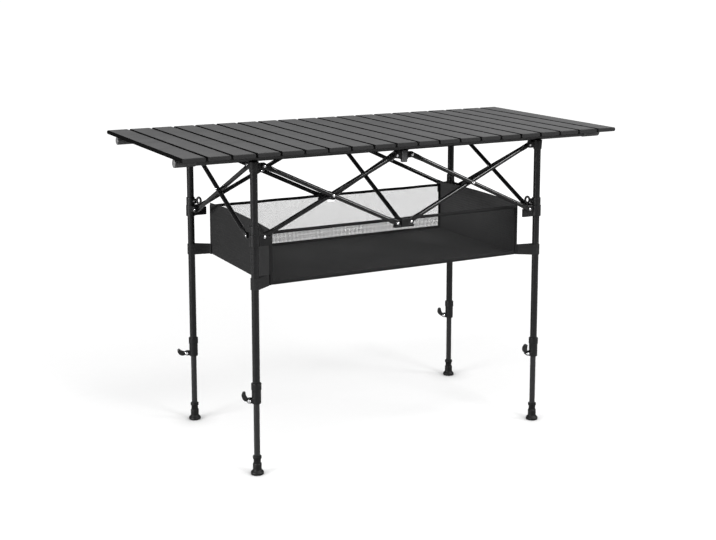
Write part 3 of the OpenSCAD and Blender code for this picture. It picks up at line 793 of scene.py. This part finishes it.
def brace_ring(x, tip, side):
    """The section of a brace at x, by its distance from the nearer tip: flat, then round."""
    flat = 1 - min(max((tip - flat_length) / flare_length, 0), 1)
    flat = flat * flat * (3 - 2 * flat)
    height = brace_radius + (tab_half - brace_radius) * flat
    if tip < tab_half:
        height = math.sqrt(max(tab_half ** 2 - (tab_half - tip) ** 2, 0.2))
    thick = brace_radius + (tab_half_thick - brace_radius) * flat
    power = 2 / (2 + 2.5 * flat)
    ring = []
    for k in range(brace_sides):
        c, s = math.cos(2 * math.pi * k / brace_sides), math.sin(2 * math.pi * k / brace_sides)
        ring.append((x, side * layer + math.copysign(abs(c) ** power, c) * thick,
                     math.copysign(abs(s) ** power, s) * height))
    return ring


def brace_tube(side):
    """A brace along X from its first rivet, on one side of the lugs' middle."""
    tips = [0, 0.4, 1, 1.8, 2.8, 4, 5, 6, 9, 12, 15, 17, 19, 21, 23, 25, 27, 29, 31, 33, 36, 60, 120]
    return lofted([brace_ring(t - tab_half, t, side) for t in tips]
                  + [brace_ring(brace_length + tab_half - t, t, side) for t in reversed(tips)])


rivet_tree, size = node_tree("rivet", Count="Int", First="Vector", Step="Vector", Low="Float", High="Float",
                             Head="Vector", Shank="Float", Finish="Material")
rivet_length = put(rivet_tree, "ShaderNodeMath", {0: size["High"], 1: size["Low"]},
                   operation="SUBTRACT").outputs[0]
rivet_sum = put(rivet_tree, "ShaderNodeMath", {0: size["High"], 1: size["Low"]}, operation="ADD").outputs[0]
rivet_middle = put(rivet_tree, "ShaderNodeMath", {0: rivet_sum, 1: 0.5}, operation="MULTIPLY").outputs[0]
shank = put(rivet_tree, "GeometryNodeMeshCylinder",
            {"Vertices": 16, "Radius": size["Shank"], "Depth": rivet_length}).outputs["Mesh"]
shank_place = put(rivet_tree, "ShaderNodeCombineXYZ", {"Y": rivet_middle}).outputs[0]
parts = [put(rivet_tree, "GeometryNodeTransform",
             {"Geometry": shank, "Rotation": (math.radians(90), 0, 0),
              "Translation": shank_place}).outputs[0]]
dome = put(rivet_tree, "GeometryNodeMeshUVSphere", {"Segments": 20, "Rings": 10, "Radius": 1}).outputs["Mesh"]
for end in ("Low", "High"):
    seat = put(rivet_tree, "ShaderNodeCombineXYZ", {"Y": size[end]}).outputs[0]
    parts.append(put(rivet_tree, "GeometryNodeTransform",
                     {"Geometry": dome, "Scale": size["Head"], "Translation": seat}).outputs[0])
whole = put(rivet_tree, "GeometryNodeJoinGeometry")
for part in parts:
    rivet_tree.links.new(part, whole.inputs[0])
holes = put(rivet_tree, "GeometryNodeMeshLine",
            {"Count": size["Count"], "Start Location": size["First"], "Offset": size["Step"]},
            mode="OFFSET").outputs[0]
set_rivets = put(rivet_tree, "GeometryNodeInstanceOnPoints",
                 {"Points": holes, "Instance": whole.outputs[0]}).outputs[0]
close_tree(rivet_tree, set_rivets, size["Finish"])

brace_paint = coat("brace_paint", (0.004, 0.004, 0.0042), 0.1, (0.14, 0.2), 1500, 0.03, (0.15, 0.15, 1),
                   Specular_IOR_Level=0.3)
rivet_steel = coat("rivet_steel", (0.72, 0.72, 0.73), 0.05, (0.2, 0.32), 2000, 0.05, Metallic=1.0)
for name, (plane, x, y, falls, side) in BRACES.items():
    place = (Matrix.Translation((x, y, pin_top if falls else pin_low))
             @ Matrix.Rotation(math.radians(0 if plane == "x" else 90), 4, "Z")
             @ Matrix.Rotation(slope if falls else -slope, 4, "Y"))
    tube = brace_tube(side)
    tube.transform(place)
    piece(f"tube_{name}", tube, brace_paint, name, [name])
    seats = sorted((side * (layer + tab_half_thick), -side * (lug_thick / 2 + 0.3)))
    rivets = [grown(rivet_tree, Count=2, First=(0.0, 0.0, 0.0), Step=(brace_length, 0.0, 0.0), Low=seats[0],
                    High=seats[1], Head=rivet_head, Shank=rivet_shank, Finish=rivet_steel)]
    if falls:
        rivets.append(grown(rivet_tree, Count=1, First=(brace_length / 2, 0.0, 0.0), Step=(0.0, 0.0, 0.0),
                            Low=-layer - brace_radius, High=layer + brace_radius, Head=rivet_head,
                            Shank=rivet_shank, Finish=rivet_steel))
    rivet_mesh = joined(*rivets)
    rivet_mesh.transform(place)
    piece(f"rivets_{name}", rivet_mesh, rivet_steel, name)


# The basket's cloth: a polyester floor and two closed ends, which hang between the sliders and the
# straps and sag a little under their own weight. The floor is in four strips.
basket_x = 315
basket_y = 172
basket_bottom = 404
basket_top = 521
end_top = 525
end_belly = 2.5
end_crown = 5
floor_sag = 5
cloth_thick = 1.1
cloth_inset = 0.6


def cloth_finish(name, colour, pitch, rough, bump, sheen):
    """A plain weave on the cloth's own map, with slubs in its colour."""
    material = bpy.data.materials.new(name)
    material.use_nodes = True
    tree = material.node_tree
    shader = tree.nodes["Principled BSDF"]
    shader.inputs["Sheen Weight"].default_value = sheen
    shader.inputs["Sheen Roughness"].default_value = 0.4
    shader.inputs["Specular IOR Level"].default_value = 0.25
    flat = put(tree, "ShaderNodeUVMap", uv_map="cut").outputs[0]
    waves = [put(tree, "ShaderNodeTexWave",
                 {"Vector": flat, "Scale": 0.05 / pitch, "Distortion": 0.6, "Detail": 1},
                 bands_direction=way).outputs["Fac"] for way in ("X", "Y")]
    weave = put(tree, "ShaderNodeMath", {0: waves[0], 1: waves[1]}, operation="MULTIPLY").outputs[0]
    slub = put(tree, "ShaderNodeTexNoise", {"Vector": flat, "Scale": 90, "Detail": 5}).outputs[0]
    shade = put(tree, "ShaderNodeMath", {0: weave, 1: slub}, operation="ADD").outputs[0]
    ramp = put(tree, "ShaderNodeValToRGB", {"Fac": shade})
    ramp.color_ramp.elements[0].position = 0.25
    ramp.color_ramp.elements[0].color = (*(c * 0.7 for c in colour), 1)
    ramp.color_ramp.elements[1].color = (*(c * 1.25 for c in colour), 1)
    level = put(tree, "ShaderNodeMapRange",
                {"Value": slub, "To Min": rough[0], "To Max": rough[1]}).outputs[0]
    relief = put(tree, "ShaderNodeBump", {"Height": weave, "Strength": bump, "Distance": 0.0003}).outputs[0]
    tree.links.new(ramp.outputs[0], shader.inputs["Base Color"])
    tree.links.new(level, shader.inputs["Roughness"])
    tree.links.new(relief, shader.inputs["Normal"])
    return material


def cloth(columns, rows, width, length, point):
    """A sheet from a rule for its points, with a map of the flat cut in metres."""
    points = [point(u / columns, v / rows) for v in range(rows + 1) for u in range(columns + 1)]
    stride = columns + 1
    corners = [v * stride + u for v in range(rows) for u in range(columns)]
    faces = [(k, k + 1, k + stride + 1, k + stride) for k in corners]
    mesh = bpy.data.meshes.new("sheet")
    mesh.from_pydata([tuple(map(float, p)) for p in points], [], faces)
    flat = mesh.uv_layers.new(name="cut")
    for loop in mesh.loops:
        v, u = divmod(loop.vertex_index, columns + 1)
        flat.data[loop.index].uv = (u / columns * width * MM, v / rows * length * MM)
    return mesh


def thickened(sheet_mesh, thick):
    """A sheet with its thickness, half to each side, as one closed mesh."""
    holder = bpy.data.objects.new("sheet", sheet_mesh)
    scene.collection.objects.link(holder)
    wall = holder.modifiers.new("thickness", "SOLIDIFY")
    wall.thickness = thick
    wall.offset = 0
    depsgraph = bpy.context.evaluated_depsgraph_get()
    mesh = bpy.data.meshes.new_from_object(holder.evaluated_get(depsgraph), depsgraph=depsgraph)
    bpy.data.objects.remove(holder)
    return mesh


def sag(u, v):
    """How far a sheet held at its edges hangs out at (u, v), from 0 at its edges to 1 in its middle."""
    return (1 - (2 * u - 1) ** 2) ** 0.8 * (1 - (2 * v - 1) ** 2) ** 0.8


basket_cloth = cloth_finish("basket_cloth", (0.007, 0.007, 0.0072), 0.0009, (0.75, 0.9), 0.5, 0.05)
# The inner face is much paler than the outer: painted light for the inside, which the table shades.
basket_painted_light = cloth_finish("basket_painted_light", (0.034, 0.034, 0.0345), 0.0009, (0.7, 0.85), 0.5, 0.1)


def paint_inner_light(obj, inwards):
    """Gives the inner face of the cloth a paler finish: painted light for the basket's shaded inside."""
    obj.data.materials.append(basket_painted_light)
    for face in obj.data.polygons:
        face.material_index = 1 if face.normal.dot(Vector(inwards)) > 0.5 else 0


floor_half_x = basket_x - cloth_inset
floor_half_y = 169
floor_strips = (
    ("front", -floor_half_y, -floor_half_y / 2, "hub_front_lower", 0.2),
    ("front_middle", -floor_half_y / 2, 0, "hub_front_lower", 0.03),
    ("rear_middle", 0, floor_half_y / 2, "hub_rear_lower", 0.03),
    ("rear", floor_half_y / 2, floor_half_y, "hub_rear_lower", 0.2),
)
for name, low, high, body, gathered in floor_strips:
    def floor_point(u, v):
        x, y = -floor_half_x + 2 * floor_half_x * u, low + (high - low) * v
        depth = (y + floor_half_y) / (2 * floor_half_y)
        ripple = 0.5 * math.sin(x / 31 + 1.3 * math.sin(y / 47)) * sag(u, depth)
        return x, y, basket_bottom + cloth_inset - floor_sag * sag(u, depth) + ripple

    floor_sheet = thickened(cloth(96, 14, 2 * floor_half_x, high - low, floor_point), cloth_thick)
    floor_cloth = piece(f"basket_floor_{name}", floor_sheet, basket_cloth, body,
                        ["basket"] if name == "front" else [], sharp=60)
    paint_inner_light(floor_cloth, (0, 0, 1))
    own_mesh(floor_cloth)

for name, side, body in (("left", -1, "slider_fl"), ("right", 1, "slider_fr")):
    def end_point(u, v):
        y = -basket_y + 2 * basket_y * u
        z = basket_bottom + 1.2 + (end_top - basket_bottom - 1.2) * v
        belly = end_belly * sag(u, v) + 0.7 * math.sin(y / 23 + z / 60) * sag(u, v)
        crown = end_crown * (1 - (2 * u - 1) ** 2) * v ** 3
        return side * (basket_x - cloth_inset - belly), y, z + crown

    end_sheet = thickened(cloth(60, 22, 2 * basket_y, end_top - basket_bottom, end_point), cloth_thick)
    end_cloth = piece(f"basket_end_{name}", end_sheet, basket_cloth, body, sharp=60)
    paint_inner_light(end_cloth, (-side, 0, 0))
    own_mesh(end_cloth)


# The basket's nets: fine knitted black mesh along the front and the rear, open enough to see through, with
# a gap at the middle for the lower hub's arm.
net_pitch = 1.35
net_thread = 0.32
net_bottom = 405.3
net_top = 514
net_half = 313.7
net_y = 168.6
notch_half = 9
notch_bottom = 501
net_yarn = coat("net_yarn", (0.012, 0.012, 0.0125), 0.2, (0.6, 0.75), 3000, 0.2, Specular_IOR_Level=0.2)


def net_point(x, z, side):
    """A point of a net wall, which bows out a little."""
    u, v = (x + net_half) / (2 * net_half), (z - net_bottom) / (net_top - net_bottom)
    return x, side * (net_y + 1.5 * sag(u, v)), z


def net_runs(side):
    """The paths of a net's threads: upright ones, then level ones, which stop at the notch."""
    runs = []
    for x in np.arange(-net_half, net_half + 0.1, net_pitch):
        top = notch_bottom if abs(x) < notch_half else net_top
        runs.append([net_point(x, z, side) for z in np.linspace(net_bottom, top, 7)])
    for z in np.arange(net_bottom, net_top + 0.1, net_pitch):
        if z < notch_bottom:
            spans = [(-net_half, net_half)]
        else:
            spans = [(-net_half, -notch_half), (notch_half, net_half)]
        runs += [[net_point(x, z, side) for x in np.linspace(a, b, 33)] for a, b in spans]
    return runs


for name, side, body in (("front", -1, "hub_front_lower"), ("rear", 1, "hub_rear_lower")):
    net_mesh = strung(net_runs(side), net_thread, 6, net_yarn)
    net = piece(f"basket_net_{name}", net_mesh, net_yarn, body)
    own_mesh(net)


# The basket's hems: folded webbing sewn over the upper edge of each net, with a flat binding along the
# lower edge and at the corners, and round piping up each corner.
hem_half_height = 3.5
hem_half_thick = 1.9
binding_half_width = 3.4
binding_half_thick = 0.8
piping_radius = 2.4
webbing = coat("hem_webbing", (0.006, 0.006, 0.0063), 0.15, (0.7, 0.85), 1500, 0.5, (1, 1, 6),
               Specular_IOR_Level=0.2)


def flat_band(path, half_width, half_thick, across):
    """A band with round edges along a path, flat in the direction across it."""
    rings = []
    for k, here in enumerate(path):
        ahead = (Vector(path[min(k + 1, len(path) - 1)]) - Vector(path[max(k - 1, 0)])).normalized()
        wide = Vector(across)
        out = ahead.cross(wide).normalized()
        ring = []
        for a in np.linspace(0, 2 * math.pi, 12, endpoint=False):
            c, s = math.cos(a), math.sin(a)
            ring.append(Vector(here) + wide * half_width * math.copysign(abs(c) ** 0.45, c)
                        + out * half_thick * math.copysign(abs(s) ** 0.7, s))
        rings.append(ring)
    return lofted(rings)


for name, side, body in (("front", -1, "hub_front_lower"), ("rear", 1, "hub_rear_lower")):
    bands = []
    for way in (-1, 1):
        upper = [(way * x, side * (basket_y - 2), net_top + hem_half_height + 0.25 * math.sin(x / 19))
                 for x in np.linspace(notch_half + 0.5, net_half, 40)]
        bands.append(flat_band(upper, hem_half_height, hem_half_thick, (0, 0, 1)))
    lower = [net_point(x, net_bottom + 3.2, side) for x in np.linspace(-net_half, net_half, 70)]
    bands.append(flat_band(lower, binding_half_width, binding_half_thick, (0, 0, 1)))
    for way in (-1, 1):
        upright = [net_point(way * (net_half - 3), z, side) for z in np.linspace(net_bottom, net_top, 12)]
        bands.append(flat_band(upright, binding_half_width, binding_half_thick, (1, 0, 0)))
    for way in (-1, 1):
        corner_x, corner_y = way * (basket_x - 1.2), side * (basket_y - 1.5)
        bands.append(rod((corner_x, corner_y, basket_bottom + 0.5), (corner_x, corner_y, basket_top - 0.5),
                         piping_radius, sides=12))
    hems = piece(f"basket_hem_{name}", joined(*bands), webbing, body, sharp=60)
    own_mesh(hems)


# The stitches: polyester thread along the hems and the bindings.
stitch_step = 4.2
stitch_length = 2.9
stitch_thick = 0.55
stitch_arch = 0.15
stitch_thread = coat("stitch_thread", (0.02, 0.02, 0.021), 0.2, (0.5, 0.65), 2500, 0.3,
                     Specular_IOR_Level=0.3)
for name, side, body in (("front", -1, "hub_front_lower"), ("rear", 1, "hub_rear_lower")):
    seams = []
    for x in np.arange(notch_half + 4, net_half - 4, stitch_step):
        for way in (-1, 1):
            for z, proud in ((net_top + 1.3, 1.75), (net_bottom + 5.2, 0.75)):
                ends = [net_point(way * (x + d), z, side) for d in (0, stitch_length / 2, stitch_length)]
                seams.append([(p[0], p[1] + side * (proud + (stitch_arch if k == 1 else 0)), p[2])
                              for k, p in enumerate(ends)])
    stitch_mesh = strung(seams, stitch_thick, 5, stitch_thread)
    stitches = piece(f"basket_stitches_{name}", stitch_mesh, stitch_thread, body)
    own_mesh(stitches)


# The corner straps: polyester webbing, looped round each leg and sewn double to the basket's end.
strap_half = 12
strap_middle = basket_bottom + 12
strap_thick = 1.3
loop_radius = leg_radius + 0.35 + strap_thick / 2
strap_webbing = cloth_finish("strap_webbing", (0.007, 0.007, 0.0073), 0.0013, (0.7, 0.85), 0.7, 0.03)
sewn_x = leg_x - basket_x - 0.7
knee = Vector((sewn_x - 0.6, leg_y - basket_y + 0.5))
away = math.atan2(knee.y, knee.x)
open_half = math.acos(loop_radius / knee.length)
loop = [Vector((math.cos(a), math.sin(a))) * loop_radius
        for a in np.linspace(away + open_half, away + 2 * math.pi - open_half, 33)]
strap_path = [Vector((sewn_x, leg_y - basket_y + y)) for y in (8, 6, 4, 2)]
strap_path += [knee.lerp(loop[0], t) for t in (0.05, 0.3, 0.6, 0.9)] + loop
strap_path += [loop[-1].lerp(knee, t) for t in (0.1, 0.4, 0.7, 0.95)]
strap_path += [Vector((sewn_x - 1.35, leg_y - basket_y + y)) for y in (2, 4, 6, 8)]
strap_run = sum((b - a).length for a, b in zip(strap_path, strap_path[1:]))


def strap_point(u, v):
    """A point of the strap: u across the webbing, v along its path."""
    spot = strap_path[round(v * (len(strap_path) - 1))]
    return spot.x, spot.y, strap_middle + (2 * u - 1) * strap_half


strap = thickened(cloth(6, len(strap_path) - 1, 2 * strap_half, strap_run, strap_point), strap_thick)
for leg in LEGS:
    band = piece(f"basket_strap_{leg}", at_leg(strap, leg), strap_webbing, f"slider_{leg}",
                 sharp=60)
